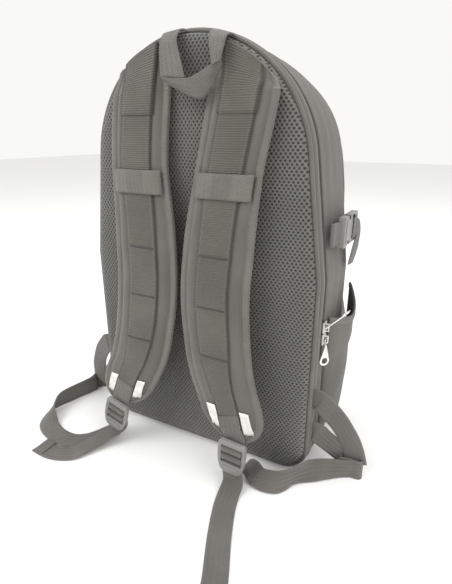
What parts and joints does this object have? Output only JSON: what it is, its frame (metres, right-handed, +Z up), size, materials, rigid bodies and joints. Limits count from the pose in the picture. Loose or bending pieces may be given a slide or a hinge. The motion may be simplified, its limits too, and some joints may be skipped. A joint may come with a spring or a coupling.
{
  "type": "racket backpack",
  "caption": "Padded racket backpack with an arched mesh back, two shoulder straps, a clamshell main compartment, a zipped front pocket, side pockets and compression straps.",
  "frame": {"origin": "middle of the base, on the surface the bag stands on", "axes": "+Z up, -Y towards the wearer's back, +X to the right as the back pad is looked at"},
  "size_m": [0.4377, 0.3651, 0.485],
  "materials": {
    "shell_fabric": "woven polyester, matte",
    "fold_fabric": "woven polyester, matte",
    "air_mesh": "open spacer mesh",
    "foam": "closed-cell foam",
    "board": "matte",
    "piping": "smooth bound edge",
    "webbing": "ribbed polyester webbing",
    "strap_cover": "smooth knit over foam",
    "ribbed_band": "fine ribbed weave",
    "binding": "elastic binding",
    "zip_tape": "zip tape and coil",
    "slider_metal": "satin nickel",
    "pull_metal": "bright nickel",
    "buckle_plastic": "moulded, slightly worn",
    "reflective": "reflective tape"
  },
  "bodies": {
    "bag": {"lower_shell": "shell_fabric", "rear_rim": "shell_fabric", "back_wall": "shell_fabric", "stiffener_sheet": "board", "back_foam": "foam", "back_mesh": "air_mesh", "back_piping": "piping", "base_board": "board", "fold_gusset": "fold_fabric", "main_zip_rear": "zip_tape", "strap_root_r": "shell_fabric", "strap_root_l": "shell_fabric", "side_pocket_r": "shell_fabric", "side_pocket_l": "shell_fabric", "pocket_elastic_r": "binding", "pocket_elastic_l": "binding", "corner_yoke_r": "webbing", "corner_yoke_l": "webbing", "adjuster_r": "webbing", "adjuster_l": "webbing"},
    "upper": {"upper_shell": "shell_fabric", "main_zip_front": "zip_tape", "front_pocket": "shell_fabric", "front_zip_body": "zip_tape", "side_strap_r": "webbing", "side_strap_l": "webbing", "side_anchor_r": "webbing", "side_anchor_l": "webbing", "buckle_socket_r": "buckle_plastic", "buckle_socket_l": "buckle_plastic"},
    "lid": {"pocket_lid": "shell_fabric", "front_zip_lid": "zip_tape"},
    "slider_a": {"main_slider_a": "slider_metal"},
    "pull_a": {"main_pull_a": "pull_metal"},
    "slider_b": {"main_slider_b": "slider_metal"},
    "pull_b": {"main_pull_b": "pull_metal"},
    "slider_f": {"front_slider": "slider_metal"},
    "pull_f": {"front_pull": "pull_metal"},
    "handle": {"grab_handle": "webbing"},
    "strap_r": {"strap_foam_r": "strap_cover", "strap_band_r": "ribbed_band", "strap_crossbar_r": "webbing", "strap_reflectors_r": "reflective", "lock_loop_r": "webbing", "ladder_lock_r": "buckle_plastic", "tail_r": "webbing"},
    "strap_l": {"strap_foam_l": "strap_cover", "strap_band_l": "ribbed_band", "strap_crossbar_l": "webbing", "strap_reflectors_l": "reflective", "lock_loop_l": "webbing", "ladder_lock_l": "buckle_plastic", "tail_l": "webbing"},
    "plug_r": {"buckle_plug_r": "buckle_plastic", "side_tail_r": "webbing"},
    "plug_l": {"buckle_plug_l": "buckle_plastic", "side_tail_l": "webbing"}
  },
  "joints": [
    {"name": "clamshell", "type": "hinge", "parent": "bag", "child": "upper", "pos_m": [0, -0.068, 0.165], "axis": [-1, 0, 0], "range_deg": [0, 20], "deforming": ["fold_gusset"]},
    {"name": "pocket_open", "type": "hinge", "parent": "upper", "child": "lid", "pos_m": [0, 0.08, 0.216], "axis": [-1, 0, 0], "range_deg": [0, 40]},
    {"name": "zip_a", "type": "slide", "parent": "bag", "child": "slider_a", "axis": [0, 0, 1], "range_m": [0, 0.045]},
    {"name": "zip_b", "type": "slide", "parent": "bag", "child": "slider_b", "axis": [0, 0, 1], "range_m": [0, 0.045]},
    {"name": "pull_a_swing", "type": "hinge", "parent": "slider_a", "child": "pull_a", "pos_m": [0.155, -0.065, 0.1735], "axis": [0, -1, 0], "range_deg": [0, 115]},
    {"name": "pull_b_swing", "type": "hinge", "parent": "slider_b", "child": "pull_b", "pos_m": [0.155, -0.065, 0.1875], "axis": [0, -1, 0], "range_deg": [-90, 40]},
    {"name": "front_zip", "type": "slide", "parent": "upper", "child": "slider_f", "axis": [0, 0, 1], "range_m": [0, 0.02]},
    {"name": "front_pull_swing", "type": "hinge", "parent": "slider_f", "child": "pull_f", "pos_m": [-0.141, 0.048, 0.238], "axis": [0, 1, 0], "range_deg": [0, 170]},
    {"name": "handle_lift", "type": "hinge", "parent": "bag", "child": "handle", "pos_m": [0, -0.105, 0.478], "axis": [-1, 0, 0], "range_deg": [0, 165]},
    {"name": "strap_swing_r", "type": "hinge", "parent": "bag", "child": "strap_r", "pos_m": [0.06, -0.095, 0.44], "axis": [-1, 0, 0], "range_deg": [0, 18], "deforming": ["adjuster_r"]},
    {"name": "strap_swing_l", "type": "hinge", "parent": "bag", "child": "strap_l", "pos_m": [-0.06, -0.095, 0.44], "axis": [-1, 0, 0], "range_deg": [0, 18], "deforming": ["adjuster_l"]},
    {"name": "buckle_r", "type": "slide", "parent": "upper", "child": "plug_r", "axis": [0, 1, 0], "range_m": [0, 0.03], "deforming": ["side_anchor_r"]},
    {"name": "buckle_l", "type": "slide", "parent": "upper", "child": "plug_l", "axis": [0, 1, 0], "range_m": [0, 0.03], "deforming": ["side_anchor_l"]}
  ],
  "couplings": [
    {"joint": "zip_b", "follows": "zip_a", "ratio": 1}
  ]
}
